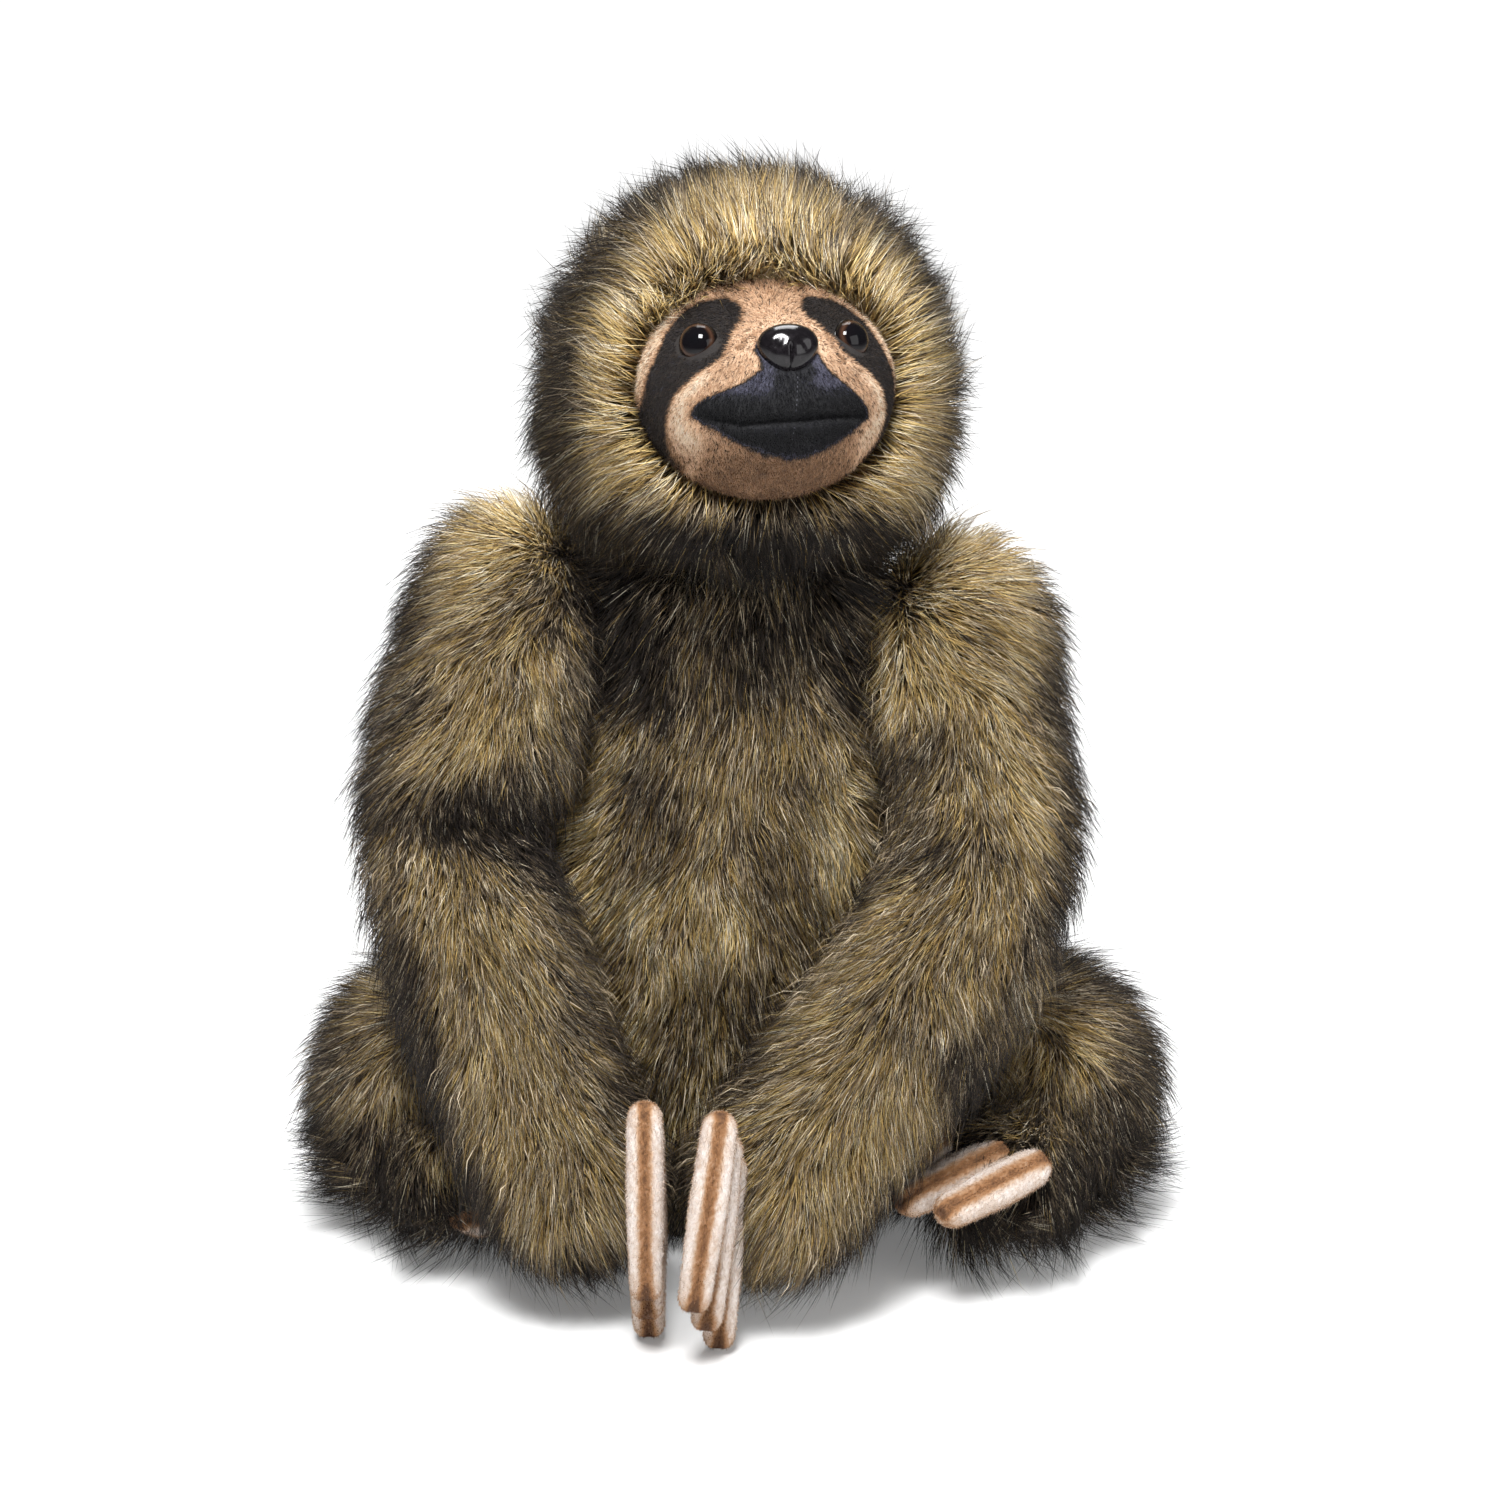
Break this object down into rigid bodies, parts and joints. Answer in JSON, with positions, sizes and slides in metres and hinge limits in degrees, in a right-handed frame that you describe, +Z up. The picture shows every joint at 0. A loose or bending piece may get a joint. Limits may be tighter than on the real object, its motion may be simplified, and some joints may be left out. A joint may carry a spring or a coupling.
{
  "type": "plush sloth",
  "caption": "Seated long-haired plush sloth with a printed face, moulded eyes and nose, long arms with stuffed fingers resting in front, and folded legs.",
  "frame": {"origin": "middle of the seat panel's flat underside, where the toy rests", "axes": "+Z up, -Y ahead of the toy (its chest and hands), +X to the right as the toy is looked at from the front"},
  "size_m": [0.287, 0.191, 0.348],
  "materials": {
    "fur": "long tipped faux fur, tan and grey-brown with dark tips",
    "face_plush": "short plush with a printed face",
    "finger_plush": "short plush with an airbrushed brown seam",
    "lining": "plain woven lining filled with pellets",
    "eye": "moulded, glossy",
    "nose": "moulded, glossy",
    "washer": "moulded, plain"
  },
  "bodies": {
    "body": {"torso": "fur", "seat_panel": "fur", "pellet_pouch": "lining"},
    "head": {"head_hood": "fur", "face": "face_plush", "eye_left": "eye", "eye_right": "eye", "nose": "nose", "eye_left_washer": "washer", "eye_right_washer": "washer", "nose_washer": "washer"},
    "upper_arm_l": {"upper_arm_left": "fur"},
    "forearm_l": {"forearm_left": "fur"},
    "fingers_l": {"finger_left_inner": "finger_plush", "finger_left_middle": "finger_plush", "finger_left_front": "finger_plush"},
    "upper_arm_r": {"upper_arm_right": "fur"},
    "forearm_r": {"forearm_right": "fur"},
    "fingers_r": {"finger_right_inner": "finger_plush", "finger_right_middle": "finger_plush", "finger_right_front": "finger_plush"},
    "leg_l": {"thigh_left": "fur", "lower_leg_left": "fur", "toe_left_inner": "finger_plush", "toe_left_middle": "finger_plush", "toe_left_outer": "finger_plush"},
    "leg_r": {"thigh_right": "fur", "lower_leg_right": "fur", "toe_right_inner": "finger_plush", "toe_right_middle": "finger_plush", "toe_right_outer": "finger_plush"}
  },
  "joints": [
    {"name": "neck_turn", "type": "hinge", "parent": "body", "child": "head", "pos_m": [0.004, 0, 0.238], "axis": [0, 0, 1], "range_deg": [-25, 25], "stiffness_Nm_per_rad": 0.25},
    {"name": "shoulder_lift_l", "type": "hinge", "parent": "body", "child": "upper_arm_l", "pos_m": [-0.07, -0.004, 0.211], "axis": [-1, 0, 0], "range_deg": [0, 60]},
    {"name": "shoulder_lift_r", "type": "hinge", "parent": "body", "child": "upper_arm_r", "pos_m": [0.07, -0.004, 0.201], "axis": [-1, 0, 0], "range_deg": [0, 60]},
    {"name": "elbow_swing_l", "type": "hinge", "parent": "upper_arm_l", "child": "forearm_l", "pos_m": [-0.0824, -0.02942, 0.17194], "axis": [-0.2571, -0.5271, -0.81], "range_deg": [0, 45]},
    {"name": "elbow_swing_r", "type": "hinge", "parent": "upper_arm_r", "child": "forearm_r", "pos_m": [0.07837, -0.02942, 0.16194], "axis": [-0.1768, 0.5369, 0.8249], "range_deg": [0, 45]},
    {"name": "wrist_flex_l", "type": "hinge", "parent": "forearm_l", "child": "fingers_l", "pos_m": [-0.0515, -0.0875, 0.046], "axis": [-1, 0, 0], "range_deg": [0, 30]},
    {"name": "wrist_flex_r", "type": "hinge", "parent": "forearm_r", "child": "fingers_r", "pos_m": [0.0155, -0.092, 0.046], "axis": [-1, 0, 0], "range_deg": [0, 30]},
    {"name": "hip_swing_l", "type": "hinge", "parent": "body", "child": "leg_l", "pos_m": [-0.012, 0, 0.0375], "axis": [0, 0, -1], "range_deg": [0, 35]},
    {"name": "hip_swing_r", "type": "hinge", "parent": "body", "child": "leg_r", "pos_m": [0.012, 0, 0.0375], "axis": [0, 0, 1], "range_deg": [0, 35]}
  ]
}
